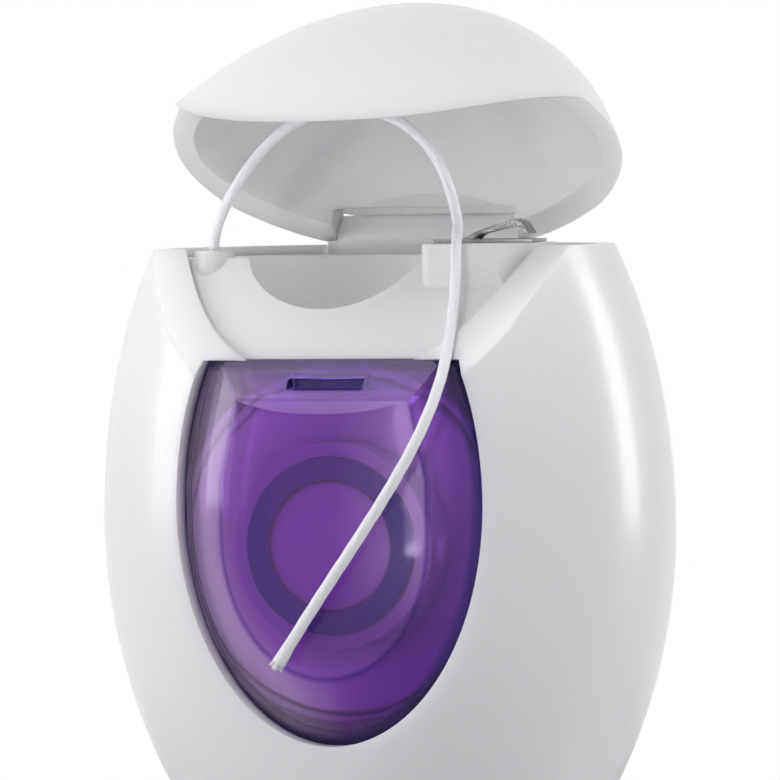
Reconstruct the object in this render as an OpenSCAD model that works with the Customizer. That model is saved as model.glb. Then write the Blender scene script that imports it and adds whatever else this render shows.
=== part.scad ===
// Pocket dental floss dispenser with a flip cap, shown open.
// X to the right, Y to the back, Z up, origin at the middle of the flat base.

/* [Body] */
// Width of the body at its widest line
body_w = 52; // [48:0.5:56]
// Thickness of the body through its middle
body_d = 29.5; // [28:0.25:32]
// Height of the widest line above the base
widest_z = 30.7; // [29.5:0.1:32]
// How far below the base the oval would close
base_cut = 6.7; // [5:0.1:9]
// Thickness of the side band, before its edges are rounded
band_d = 7.4; // [7:0.1:9]
// Radius that rounds the side band
band_r = 3.1; // [2.6:0.1:3.4]
// Thickness of the body wall
wall = 1.5; // [1.2:0.05:1.7]
// Thickness of the floor
floor_t = 1.6; // [1.2:0.1:2.4]

/* [Parting line and deck] */
// Height of the flat deck
deck_z = 54.5; // [54:0.1:55.2]
// Where the deck ends and the front slope starts, in front of the middle
deck_run = 5; // [4.5:0.1:5.5]
// Fall of the slope per millimetre where it starts
slope_a = 1.0; // [0.95:0.01:1.05]
// How much the slope steepens
slope_b = 0.05; // [0.045:0.001:0.055]
// How far the deck insert lies below the rim of the body
insert_sink = 0.8; // [0.5:0.05:1]
// Thickness of the deck insert
insert_t = 1.4; // [1.1:0.05:1.6]
// Gap between pieces that press or snap together
seat_gap = 0.08; // [0.05:0.01:0.12]

/* [Cap] */
// Height of the closed cap above the base
top_z = 70.3; // [69:0.1:73]
// Thickness of the cap wall
cap_wall = 1.7; // [1.4:0.05:1.8]
// Gap between the closed cap and the rim it closes on
cap_gap = 0.35; // [0.3:0.01:0.5]
// Length of the snap bead inside the front of the cap
bead_w = 9; // [6:0.5:11]
// Radius of the snap bead
bead_r = 0.45; // [0.3:0.05:0.5]
// Height of the snap bead above the edge of the cap
bead_up = 1.05; // [0.9:0.05:1.3]

/* [Hinge] */
// How far in from the back rim the hinge line lies
hinge_in = 1.95; // [1.75:0.05:2.15]
// Height of the hinge line above the deck
hinge_up = 0.9; // [0.8:0.05:1]
// Width of the hinge strip
hinge_w = 19; // [15:0.5:20]
// Thickness of the hinge strip
hinge_t = 0.45; // [0.3:0.05:0.6]
// Radius of the groove that leaves room round the strip
groove_r = 2.3; // [2.1:0.05:2.4]
// Angle that the cap stands open
open_deg = 50; // [40:1:55]

/* [Window] */
// Width of the window
win_w = 28.2; // [26:0.2:29]
// Height of the window's widest line
win_z = 33; // [32:0.1:34]
// Distance from the widest line down to the window's foot
win_down = 20.6; // [19:0.1:21]
// Distance from the widest line up to where its oval would close
win_up = 22; // [21:0.1:24]
// How far the window's flat top edge lies below the deck
win_drop = 9.4; // [9.1:0.1:9.9]
// Thickness of the window
win_t = 1.8; // [1.5:0.05:2]
// How far the edge of the window lies below the body
win_sink = 0.5; // [0.3:0.05:0.8]
// How far the raised field of the window lies below the body's curve
field_sink = 0.15; // [0.1:0.05:0.3]
// Width of the raised field in the window
field_w = 18.2; // [16:0.2:19]
// Height where the lower round end of the raised field starts
field_z = 30; // [28:0.2:32]
// Distance from there down to the field's foot
field_down = 10.4; // [9:0.2:11]
// Width of the lip that holds the window behind the body wall
lip_w = 1.2; // [0.8:0.1:1.5]
// Thickness of that lip
lip_t = 0.9; // [0.7:0.05:1]
// Width of the latch slot
slot_w = 7; // [5:0.2:9]
// Height of the latch slot
slot_h = 1; // [0.6:0.05:1.2]

/* [Bobbin and hub] */
// Height of the bobbin's axis
hub_z = 29.4; // [29:0.1:30]
// Outer diameter of the hub tube
hub_d = 15; // [14:0.1:15.6]
// Bore of the hub tube
hub_bore = 11.2; // [10.4:0.1:11.6]
// Running clearance between the hub and the bobbin, on the radius
hub_fit = 0.08; // [0.05:0.01:0.1]
// Clearance of the locating post inside the hub tube, on the radius
post_fit = 0.2; // [0.1:0.05:0.3]
// Thickness of the bobbin's core
core_t = 1.2; // [0.8:0.1:1.6]
// End play of the bobbin at each side
end_play = 0.35; // [0.3:0.05:0.5]
// Diameter of the inner floss layers
pack_d = 27.8; // [26:0.2:28]
// Width of the wound floss
pack_w = 17; // [16:0.5:17.4]
// Number of turns in the outer layer
turns = 12; // [10:1:12]
// Gap between the outer layer and the layers under it
layer_gap = 0.25; // [0.2:0.01:0.3]

/* [Deck details] */
// Distance of the floss exit in from the deck's left end
exit_in = 6.84; // [6.6:0.02:7.4]
// Distance of the floss exit in front of the middle
exit_y = 4; // [3.7:0.1:4.2]
// Diameter of the exit hole
exit_d = 2.2; // [1.9:0.1:2.4]
// Diameter of the collar round the exit
collar_d = 4.4; // [4:0.1:4.8]
// How far the collar stands above the sunken deck
collar_h = 0.7; // [0.5:0.1:0.9]
// Depth of the finger scoop below the sunken deck
scoop_deep = 4.5; // [4.2:0.1:4.8]
// Room between the scoop and the collar
scoop_gap = 1.15; // [0.8:0.05:1.6]
// Room between the scoop and the cutter's block
block_gap = 0.25; // [0.1:0.05:0.5]
// How far the scoop's centre lies in front of the middle
scoop_y = 6.6; // [6.2:0.1:7]
// Thickness of the scoop's wall
scoop_t = 1.2; // [1:0.05:1.3]
// Width of the block that carries the cutter
block_w = 10.8; // [10.4:0.1:11.2]
// Depth of the block, front to back
block_d = 5.6; // [5.2:0.1:6]
// Distance of the block's middle in from the deck's right end
block_in = 9.34; // [9.1:0.02:9.6]
// Distance of the block's middle in front of the middle
block_y = 4.2; // [4:0.1:4.4]
// Height of the block's top above the deck's rim
block_up = 0.25; // [0.1:0.05:0.4]

/* [Cutter] */
// Length of the cutter plate
plate_w = 9.2; // [9:0.1:9.4]
// Depth of the cutter plate
plate_d = 3.4; // [3:0.1:3.6]
// How far the plate's middle lies left of the block's middle
plate_off = 0.6; // [0.5:0.1:0.8]
// Distance of the plate's middle in front of the middle
plate_y = 2.7; // [2.5:0.1:2.8]
// Thickness of the cutter plate
plate_t = 0.3; // [0.2:0.05:0.4]
// Length of the raised tongue
tongue_w = 6.4; // [6:0.1:6.8]
// Height of the raised tongue
tongue_h = 1.7; // [1.4:0.1:2]
// Depth of the raised tongue
tongue_d = 2; // [1.6:0.1:2.4]

/* [Floss] */
// Width of the floss
floss_d = 1.05; // [0.9:0.05:1.1]
// Width of the floss at its cut end
tail_end_d = 1.3; // [1:0.05:1.4]
// Room between the floss arch and the height of the closed cap
arch_head = 3.5; // [3:0.1:5]
// Distance of the free end in front of the window
tail_out = 0.95; // [0.85:0.05:1.2]
// Height of the free end above the base
tail_z = 19.6; // [18:0.2:22]

/* [Hidden] */
half_w = body_w / 2;
half_d = body_d / 2;
up_run = top_z - widest_z;
down_run = widest_z + base_cut;
up_n = 2.03;
down_n = 1.92;
seg = 56;
// Rings of the shell surface: fractions across the crown, then angles round the band's edge.
crown_steps = [0.18, 0.34, 0.48, 0.6, 0.71, 0.8];
edge_steps = [0, 18, 36, 54, 72, 90];
far = 60;
part_steps = 12;
part_reach = half_d + 2 - deck_run;
hub_back = half_d - wall - 1;
core_len = 2 * (half_d - win_sink - win_t - end_play) - 1;
core_d = hub_d + 2 * hub_fit;
turn_r = 0.45;
turn_pitch = (pack_w - 2 * turn_r - 0.2) / turns;
turn_mid = pack_d / 2 + layer_gap + turn_r;
turn_rings = 24;
// Places that follow the deck: its half width, the rim behind it and what stands on it.
deck_r = (deck_z - widest_z) / up_run;
deck_half = half_w * pow(1 - pow(deck_r, up_n), 1 / up_n);
hinge_y = crown(deck_r, 0) - hinge_in;
hinge_z = deck_z + hinge_up;
win_top = deck_z - win_drop;
exit_x = deck_half - exit_in;
block_x = deck_half - block_in;
plate_x = block_x - plate_off;
scoop_left = -exit_x + collar_d / 2 + scoop_gap;
scoop_right = block_x - block_w / 2 - block_gap;
scoop_half = (scoop_right - scoop_left) / 2;
scoop_x = -(scoop_right + scoop_left) / 2;
scoop_r = (scoop_half * scoop_half + scoop_deep * scoop_deep) / (2 * scoop_deep);
scoop_z = deck_z - insert_sink - scoop_deep + scoop_r;
// The floss route. Inside: share of the way out to the exit, Y, share of the way up to it.
feed_x = turn_mid + 1.1;
feed_z = hub_z + 1.6;
feed_way = [[0, -1, 0], [0, -1.3, 0.24], [0.125, -2, 0.52], [0.56, -3.3, 0.81], [1, -exit_y, 1]];
feed_pts = concat(
  [for (w = feed_way) [-feed_x + w[0] * (feed_x - exit_x), w[1], feed_z + w[2] * (deck_z - 2.5 - feed_z)]],
  [[-exit_x, -exit_y, deck_z - 1.1], [-exit_x, -exit_y, deck_z - 0.1]]);
// Over the deck: sideways from the exit at -1 to the notch at 1, Y, height, share of the arch.
lead = 2.3;
notch_x = plate_x - 1;
arch_up = top_z - deck_z - arch_head - lead;
loop_way = [[-1, -exit_y, -0.05, 0], [-1, -exit_y, 0.7, 0], [-0.98, -3.9, 2.1, 0], [-0.922, -3.5, lead, 0.18],
  [-0.816, -3.1, lead, 0.43], [-0.667, -2.6, lead, 0.69], [-0.475, -2.2, lead, 0.89], [-0.227, -2, lead, 1],
  [0.06, -2.1, lead, 0.96], [0.4, -2.4, lead, 0.79], [0.59, -3, lead, 0.61], [0.74, -3.6, lead, 0.4],
  [0.83, -4.1, lead, 0.18], [0.89, -4.6, lead, 0], [0.94, -5.5, 1.3, 0], [0.975, -6.6, 1, 0],
  [0.99, -7.2, 0.85, 0], [1, -7.55, 0.55, 0]];
loop_pts = [for (w = loop_way) [w[0] * (w[0] < 0 ? exit_x : notch_x), w[1], deck_z + w[2] + w[3] * arch_up]];
// Down the front: sideways as above, Y over the slope, share of the height between free end and deck.
tail_slope = [[1.006, -7.75, 1.011], [1.015, -8.06, 1.003], [1.03, -8.7, 0.948], [1.06, -10.1, 0.877],
  [1.09, -11.7, 0.814]];
// Then the same with the distance behind the free end's plane in front of the window.
tail_front = [[1.105, 2.5, 0.745], [1.09, 1.3, 0.688], [1.03, 0.5, 0.642], [0.94, 0.1, 0.573], [0.79, 0, 0.479],
  [0.59, 0, 0.387], [0.31, 0, 0.275], [0.06, 0, 0.172], [-0.1, 0, 0.109], [-0.37, 0.1, 0]];
tail_run = deck_z - tail_z;
tail_pts = concat(
  [for (w = tail_slope) [w[0] * notch_x, w[1], tail_z + w[2] * tail_run]],
  [for (w = tail_front) [w[0] * notch_x, -half_d - tail_out + w[1], tail_z + w[2] * tail_run]]);

function spow(v, e) = sign(v) * pow(abs(v), e);
// Point of the front view's oval at an angle, drawn in by cut.
function oval_pt(a, cut) =
  let (s = sin(a), b = (s >= 0 ? up_run : down_run) - cut, n = s >= 0 ? up_n : down_n)
  [(half_w - cut) * spow(cos(a), 2 / n), b * spow(s, 2 / n)];
// Half the thickness at a fraction r of the way from the middle to the edge.
function crown(r, cut) =
  let (rr = band_r - cut, d = min((1 - r) * half_w, rr))
  half_d - cut - (half_d - band_d / 2) * pow(r, 3) - (rr - sqrt(rr * rr - (rr - d) * (rr - d)));
function part_z(y) = let (u = max(0, -deck_run - y)) deck_z - slope_a * u - slope_b * u * u;
function ring_fracs(cut) =
  let (rr = band_r - cut)
  concat([for (r = crown_steps) r * (1 - rr / half_w) / 0.88], [for (a = edge_steps) 1 - rr * (1 - sin(a)) / half_w]);

// Closed lens shape of the whole container, drawn in all round by cut.
module pod(cut = 0, seg = seg) {
  fr = ring_fracs(cut);
  k = len(fr);
  pts = concat(
    [[0, -(half_d - cut), widest_z], [0, half_d - cut, widest_z]],
    [for (side = [-1, 1], r = fr, j = [0:seg - 1])
      let (p = oval_pt(360 * j / seg, cut)) [r * p[0], side * crown(r, cut), widest_z + r * p[1]]]);
  faces = concat(
    [for (j = [0:seg - 1]) [0, 2 + (j + 1) % seg, 2 + j]],
    [for (j = [0:seg - 1]) [1, 2 + k * seg + j, 2 + k * seg + (j + 1) % seg]],
    [for (i = [0:k - 2], j = [0:seg - 1]) let (a = 2 + i * seg + j, b = 2 + i * seg + (j + 1) % seg)
      [a, b, b + seg, a + seg]],
    [for (i = [0:k - 2], j = [0:seg - 1]) let (a = 2 + (k + i) * seg + j, b = 2 + (k + i) * seg + (j + 1) % seg)
      [b, a, a + seg, b + seg]],
    [for (j = [0:seg - 1]) let (a = 2 + (k - 1) * seg + j, b = 2 + (k - 1) * seg + (j + 1) % seg)
      [a, b, b + k * seg, a + k * seg]]);
  polyhedron(pts, faces, convexity = 6);
}

// Turns a Y-Z outline into a bar along X.
module along_x(w) {
  rotate([90, 0, 90]) translate([0, 0, -w / 2]) linear_extrude(w) children();
}

// Everything under the parting line, lowered square to it by drop.
module under_parting(drop = 0) {
  along_x(far + 10) polygon(concat(
    [[far / 2, -far / 4], [far / 2, deck_z - drop]],
    [for (i = [0:part_steps])
      let (y = -deck_run - part_reach * i / part_steps, u = part_reach * i / part_steps,
        g = slope_a + 2 * slope_b * u, f = i == 0 ? 0.42 : g / sqrt(1 + g * g), c = i == 0 ? 1 : 1 / sqrt(1 + g * g))
      [y + drop * f, part_z(y) - drop * c]],
    [[-far / 2, part_z(-deck_run - part_reach) - drop - far / 4], [-far / 2, -far / 4]]));
}

module turned_open() {
  translate([0, hinge_y, hinge_z]) rotate([-open_deg, 0, 0]) translate([0, -hinge_y, -hinge_z]) children();
}

// Bar along the hinge line that keeps the swing of the strip clear.
module hinge_groove(extra = 0) {
  translate([0, hinge_y, hinge_z]) rotate([0, 90, 0])
    cylinder(r = groove_r, h = hinge_w + 0.6 + extra, center = true, $fn = 48);
}

// Outline of the window, let out by grow.
module window_outline(grow = 0) {
  translate([0, win_z]) intersection() {
    union() {
      intersection() {
        scale([1, (win_down + grow) / (win_w / 2 + grow)]) circle(r = win_w / 2 + grow, $fn = 72);
        translate([-far / 2, -far]) square([far, far]);
      }
      intersection() {
        scale([1, (win_up + grow) / (win_w / 2 + grow)]) circle(r = win_w / 2 + grow, $fn = 72);
        translate([-far / 2, 0]) square([far, far]);
      }
    }
    translate([-far / 2, -far]) square([far, far + win_top + grow - win_z]);
  }
}

module from_front(depth = 60) {
  rotate([90, 0, 0]) linear_extrude(depth) children();
}

module field_outline(grow = 0) {
  hull() {
    translate([0, field_z]) intersection() {
      scale([1, (field_down + grow) / (field_w / 2 + grow)]) circle(r = field_w / 2 + grow, $fn = 64);
      translate([-far / 2, -far]) square([far, far]);
    }
    translate([-field_w / 2 - grow + 1.2, field_z]) square([field_w + 2 * grow - 2.4, win_top + 2 - field_z]);
    translate([-field_w / 2 - grow, field_z]) square([field_w + 2 * grow, 7]);
  }
}

module rod(d, y0, y1, n = 72) {
  translate([0, y1, hub_z]) rotate([90, 0, 0]) cylinder(d = d, h = y1 - y0, $fn = n);
}

module body_shell() {
  color("#f2f2f0") union() {
    difference() {
      intersection() {
        pod();
        under_parting();
        translate([-far / 2, -far / 2, 0]) cube([far, far, far + 20]);
      }
      intersection() {
        pod(wall, 48);
        translate([-far / 2, -far / 2, floor_t]) cube([far, far, far + 20]);
      }
      from_front() window_outline();
      hinge_groove();
    }
    hinge_land();
    intersection() {
      rod(hub_bore - 2 * post_fit, -half_d + win_sink + win_t + 0.5, half_d);
      pod(wall / 2, 28);
    }
  }
}

// Land that carries the lower end of the hinge strip and closes the groove.
module hinge_land() {
  difference() {
    intersection() {
      pod(wall / 2, 28);
      translate([-hinge_w / 2 - 1.4, hinge_y - groove_r - 1, deck_z - insert_t - insert_sink - 3.4])
        cube([hinge_w + 2.8, 8, insert_t + insert_sink + 3.4 - insert_sink - insert_t - seat_gap]);
    }
    hinge_groove();
  }
}

module front_window() {
  color("#5b2f92") union() {
    difference() {
      intersection() {
        union() {
          intersection() {
            pod(win_sink, 48);
            from_front() window_outline(-seat_gap);
          }
          intersection() {
            pod(field_sink, 40);
            window_field();
          }
        }
        under_parting();
        from_front() window_outline(-seat_gap);
      }
      window_inside();
      latch_slot();
    }
    window_lip();
    hub_tube();
  }
}

// Raised field with a sloping border, standing on the window.
module window_field() {
  hull() {
    translate([0, -half_d + 1.6, 0]) from_front(0.1) field_outline(3.2);
    translate([0, -half_d + 0.25, 0]) from_front(0.1) field_outline(0);
  }
  translate([0, -half_d + 0.2, 0]) from_front(4) field_outline(0);
}

// Space behind the window, parallel to its front and to the parting line above.
module window_inside() {
  intersection() {
    pod(win_sink + win_t, 36);
    under_parting(win_t);
  }
}

module latch_slot() {
  y = -part_y(win_top - 2);
  translate([-slot_w / 2, y - 1.5, win_top - 2 - slot_h / 2]) cube([slot_w, 2.3, slot_h]);
}

// Distance in front of the middle at which the slope passes a height.
function part_y(z) =
  let (f = deck_z - z) deck_run + (sqrt(slope_a * slope_a + 4 * slope_b * f) - slope_a) / (2 * slope_b);

module window_lip() {
  difference() {
    intersection() {
      pod(wall + seat_gap, 36);
      from_front() window_outline(lip_w);
      under_parting(win_t);
      translate([-far / 2, -far / 2, 0]) cube([far, far / 2 - 5, win_top - 3]);
    }
    pod(wall + seat_gap + lip_t, 36);
    intersection() {
      from_front() window_outline(-seat_gap - 0.6);
      pod(win_sink + win_t, 36);
    }
  }
}

module hub_tube() {
  difference() {
    rod(hub_d, -half_d + win_sink + win_t - 0.6, hub_back);
    rod(hub_bore, -half_d + win_sink + win_t - 1, hub_back + 1);
  }
}

module deck_insert() {
  color("#e2e3e6") difference() {
    union() {
      intersection() {
        pod(wall + seat_gap, 40);
        difference() {
          under_parting(insert_sink);
          under_parting(insert_sink + insert_t);
        }
        translate([-far / 2, -far / 2, win_top + seat_gap]) cube([far, far, far]);
      }
      intersection() {
        pod(wall + seat_gap, 40);
        translate([-scoop_x, -scoop_y, scoop_z]) sphere(r = scoop_r + scoop_t, $fn = 56);
        under_parting(insert_sink + 0.2);
        translate([-far / 2, -far / 2, win_top + seat_gap]) cube([far, far, far]);
      }
      intersection() {
        pod(cap_wall + cap_gap + 0.05, 36);
        union() {
          cutter_block();
          exit_collar();
        }
      }
    }
    translate([-scoop_x, -scoop_y, scoop_z]) sphere(r = scoop_r, $fn = 56);
    translate([-exit_x, -exit_y, deck_z - far / 2]) cylinder(d = exit_d, h = far, $fn = 32);
    hinge_groove(1);
  }
}

module exit_collar() {
  translate([-exit_x, -exit_y, deck_z - insert_sink - insert_t - 1.2])
    cylinder(d = collar_d, h = insert_t + 1.2 + collar_h, $fn = 40);
}

module cutter_block() {
  translate([block_x, -block_y, deck_z - insert_sink - insert_t]) hull() {
    for (sx = [-1, 1], sy = [-1, 1])
      translate([sx * (block_w / 2 - 1), sy * (block_d / 2 - 1), -1.6])
        cylinder(r = 1, h = insert_sink + insert_t + block_up + 1.6, $fn = 24);
  }
}

module cutter() {
  z0 = deck_z + block_up + 0.02;
  tx = plate_x + plate_w / 2 - tongue_w - 0.6;
  color("#8d9096") {
    difference() {
      translate([plate_x - plate_w / 2, -plate_y - plate_d / 2, z0]) cube([plate_w, plate_d, plate_t]);
      translate([tx + 0.9, -plate_y - tongue_d / 2 - 0.1, z0 - 1]) cube([tongue_w - 0.9, tongue_d + 0.2, 3]);
    }
    translate([tx, -plate_y + tongue_d / 2, z0]) rotate([90, 0, 0]) linear_extrude(tongue_d) polygon([
      [0, 0], [0.95, 0], [tongue_w * 0.3, tongue_h * 0.42], [tongue_w * 0.62, tongue_h * 0.72],
      [tongue_w * 0.86, tongue_h * 0.78], [tongue_w * 0.97, tongue_h * 0.42], [tongue_w, tongue_h * 0.45],
      [tongue_w * 0.9, tongue_h], [tongue_w * 0.78, tongue_h + plate_t], [tongue_w * 0.6, tongue_h * 0.9 + plate_t * 0.6],
      [tongue_w * 0.27, tongue_h * 0.42 + plate_t], [0.3, plate_t]]);
  }
}

// Thin strip that bends: its lower end stands on the body, its upper end carries the cap.
module hinge_strip() {
  r = groove_r - 0.06;
  h = hinge_t / 2;
  s = sin(open_deg);
  c = cos(open_deg);
  k = tan(open_deg / 2) * h;
  color("#ececea") translate([0, hinge_y, hinge_z]) along_x(hinge_w) polygon([
    [-h, -r], [h, -r], [h, k * -1], [h * c + r * s, -h * s + r * c], [-h * c + r * s, h * s + r * c], [-h, k]]);
}

module cap() {
  color("#f4f4f2") turned_open() union() {
    difference() {
      pod();
      pod(cap_wall, 48);
      under_parting(-cap_gap);
      hinge_groove();
    }
    cap_land();
    snap_bead();
  }
}

// Land inside the cap that takes the upper end of the hinge strip and closes the groove.
module cap_land() {
  difference() {
    intersection() {
      pod(cap_wall / 2, 28);
      translate([-hinge_w / 2 - 1.4, hinge_y - 0.3, hinge_z + groove_r - 1.2]) cube([hinge_w + 2.8, 8, 2.2]);
    }
    hinge_groove();
  }
}

// Inside of the cap's front at a height, and the height where it meets the parting line.
function inner_front(z) = -crown((z - widest_z) / (up_run - cap_wall), cap_wall);
function settled(z, n) = n == 0 ? z : settled((z + part_z(inner_front(z))) / 2, n - 1);

module snap_bead() {
  z = settled(part_z(-half_d + cap_wall), 12) + 2 * cap_gap + bead_up;
  y = inner_front(z);
  intersection() {
    pod(cap_wall / 2, 28);
    translate([-bead_w / 2, y, z]) rotate([0, 90, 0]) cylinder(r = bead_r, h = bead_w, $fn = 20);
  }
}

module bobbin_core() {
  color("#f6f4ee") difference() {
    rod(core_d + 2 * core_t, -core_len / 2, core_len / 2, 64);
    rod(core_d, -core_len / 2 - 1, core_len / 2 + 1, 64);
  }
}

module floss_pack() {
  color("#f7f7f5") difference() {
    rod(pack_d, -pack_w / 2, pack_w / 2, 64);
    rod(core_d + 2 * core_t, -pack_w / 2 - 1, pack_w / 2 + 1, 64);
  }
}

function turn_path() = [for (i = [0:turns * turn_rings])
  let (a = 360 * i / turn_rings)
  [turn_mid * cos(a), -turn_pitch * turns / 2 + turn_pitch * i / turn_rings, hub_z + turn_mid * sin(a)]];

module floss_winding() {
  path = turn_path();
  color("#fbfbfb") sweep_tube(path, [for (i = [0:len(path) - 1]) turn_r], 6);
}

function unit(v) = v / norm(v);
// Smooth curve through hand-set points, n steps in each stretch.
function smooth(p, n) = concat(
  [for (i = [0:len(p) - 2], j = [0:n - 1])
    let (t = j / n, p0 = i == 0 ? 2 * p[0] - p[1] : p[i - 1], p1 = p[i], p2 = p[i + 1],
      p3 = i == len(p) - 2 ? 2 * p[i + 1] - p[i] : p[i + 2])
    0.5 * (2 * p1 + (p2 - p0) * t + (2 * p0 - 5 * p1 + 4 * p2 - p3) * t * t + (3 * p1 - p0 - 3 * p2 + p3) * t * t * t)],
  [p[len(p) - 1]]);
function path_length(q, i = 0) = i >= len(q) - 1 ? 0 : norm(q[i + 1] - q[i]) + path_length(q, i + 1);
function tangent(q, i) = unit(q[min(i + 1, len(q) - 1)] - q[max(i - 1, 0)]);
// Side vectors carried from ring to ring so that the tube doesn't twist.
function carried(q, i, prev) =
  i >= len(q) ? [] :
  let (t = tangent(q, i), v = prev - (prev * t) * t, u = unit(v)) concat([u], carried(q, i + 1, u));
// One closed tube along a path, with a radius at each point.
module sweep_tube(q, r, sides) {
  t0 = tangent(q, 0);
  first = unit(cross(t0, abs(t0[1]) < 0.8 ? [0, 1, 0] : [1, 0, 0]));
  us = carried(q, 0, first);
  n = len(q);
  pts = concat([for (i = [0:n - 1], k = [0:sides - 1])
      let (u = us[i], v = cross(tangent(q, i), u), a = 360 * k / sides)
      q[i] + r[i] * (cos(a) * u + sin(a) * v)],
    [q[0], q[n - 1]]);
  faces = concat(
    [for (i = [0:n - 2], k = [0:sides - 1]) let (a = i * sides + k, b = i * sides + (k + 1) % sides)
      [a, a + sides, b + sides, b]],
    [for (k = [0:sides - 1]) [n * sides, k, (k + 1) % sides]],
    [for (k = [0:sides - 1]) [n * sides + 1, (n - 1) * sides + (k + 1) % sides, (n - 1) * sides + k]]);
  polyhedron(pts, faces, convexity = 10);
}

module strand(p, n, d0, d1) {
  q = smooth(p, n);
  m = len(q) - 1;
  color("#ffffff") sweep_tube(q, [for (i = [0:m]) (d0 + (d1 - d0) * i / m) / 2], 8);
}

module floss_feed() {
  strand(feed_pts, 2, floss_d, floss_d);
}

module floss_loop() {
  strand(loop_pts, 2, floss_d, floss_d);
}

module floss_tail() {
  strand(tail_pts, 2, floss_d, tail_end_d);
}

echo(winding_gap_to_itself = turn_pitch - 2 * turn_r);
echo(feed_length = path_length(smooth(feed_pts, 2)));
echo(loop_length = path_length(smooth(loop_pts, 2)));
echo(tail_length = path_length(smooth(tail_pts, 2)));

body_shell();
front_window();
deck_insert();
cutter();
hinge_strip();
cap();
bobbin_core();
floss_pack();
floss_winding();
floss_feed();
floss_loop();
floss_tail();
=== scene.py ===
import random
from math import atan2, copysign, cos, pi, radians, sin, sqrt, tan

import bmesh
import bpy
from mathutils import Matrix, Vector


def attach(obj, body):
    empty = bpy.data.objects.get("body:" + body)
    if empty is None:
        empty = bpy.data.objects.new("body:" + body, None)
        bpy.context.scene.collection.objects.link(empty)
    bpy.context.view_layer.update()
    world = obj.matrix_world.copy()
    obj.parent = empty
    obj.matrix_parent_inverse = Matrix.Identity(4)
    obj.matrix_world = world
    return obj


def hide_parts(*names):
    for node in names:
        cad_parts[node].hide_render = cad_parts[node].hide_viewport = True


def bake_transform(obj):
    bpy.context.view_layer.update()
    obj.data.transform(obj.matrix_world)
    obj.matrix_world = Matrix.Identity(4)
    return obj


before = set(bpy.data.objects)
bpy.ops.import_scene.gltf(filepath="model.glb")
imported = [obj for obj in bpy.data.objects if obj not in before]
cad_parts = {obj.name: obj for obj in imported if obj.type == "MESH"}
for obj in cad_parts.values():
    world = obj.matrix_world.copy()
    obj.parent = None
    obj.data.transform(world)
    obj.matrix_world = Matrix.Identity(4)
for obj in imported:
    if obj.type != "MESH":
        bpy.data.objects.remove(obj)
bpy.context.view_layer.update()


# Sizes in millimetres, the same as the solids'. The case is a pod: its outline is half a
# superellipse above widest_z and half of another below, and its crown falls to an edge band.
half_width = 26
widest_z = 30.7
upper_half = (39.6, 2.03)
lower_half = (37.4, 1.92)
crown = 14.75
crown_fall = 11.05
edge_band = 3.1
case_wall = 1.5
floor_z = 1.6
deck_z = 54.5
slope_y = -5
hinge_y, hinge_z = 10.4, 55.4
groove_r = 2.3
fold = radians(50)
window_half_w = 14.1
window_mid_z, window_top_z = 33, 45.1
window_up, window_down = 22, 20.6
hub_z = 29.4
exit_x, exit_y = -14.1, -4.0
insert_z, insert_cut = 45.18, 1.58
weld = 0.004


# Camera. A long lens a little to the window's right and just above level, leaning
# about a degree. It stands far enough off for the case to look nearly flat-on.
swing, lift, lean = radians(22.72), radians(2.1), radians(1.05)
stand_off, aim_height, aim_aside = 0.644, 0.04209, 0.00042
backward = Vector((sin(swing) * cos(lift), -cos(swing) * cos(lift), sin(lift)))
sideways = Vector((cos(swing), sin(swing), 0))
upward = backward.cross(sideways)
aim = Vector((0, 0, aim_height)) + sideways * aim_aside
camera = bpy.data.objects.new("camera", bpy.data.cameras.new("camera"))
bpy.context.collection.objects.link(camera)
camera.data.lens = 344.9
camera.data.sensor_width = 36
camera.data.clip_start = 0.05
camera.data.clip_end = 20
tilt = Matrix((sideways * cos(lean) - upward * sin(lean),
               sideways * sin(lean) + upward * cos(lean),
               backward))
camera.matrix_world = Matrix.Translation(aim + backward * stand_off) @ tilt.transposed().to_4x4()
bpy.context.scene.camera = camera


# Floss strands. Waxed white thread of many filaments laid in seven soft strands, just under a
# millimetre across. Each is a ring extruded along its route; the free end is cut off and frays.
floss_seen = 0.93
floss_lobes = 0.035
floss_sides = 28
tail_flare, end_flare = 0.1, 0.2


def along(route, steps):
    points = [Vector(p) for p in route]
    points = [2 * points[0] - points[1], *points, 2 * points[-1] - points[-2]]
    line = []
    for a, b, c, d in zip(points, points[1:], points[2:], points[3:]):
        for i in range(steps):
            t = i / steps
            square, cube = 2 * a - 5 * b + 4 * c - d, 3 * b - a - 3 * c + d
            line.append(0.5 * (2 * b + (c - a) * t + square * t**2 + cube * t**3))
    return line + [Vector(route[-1])]


def length_of(line):
    return sum((b - a).length for a, b in zip(line, line[1:]))


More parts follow.
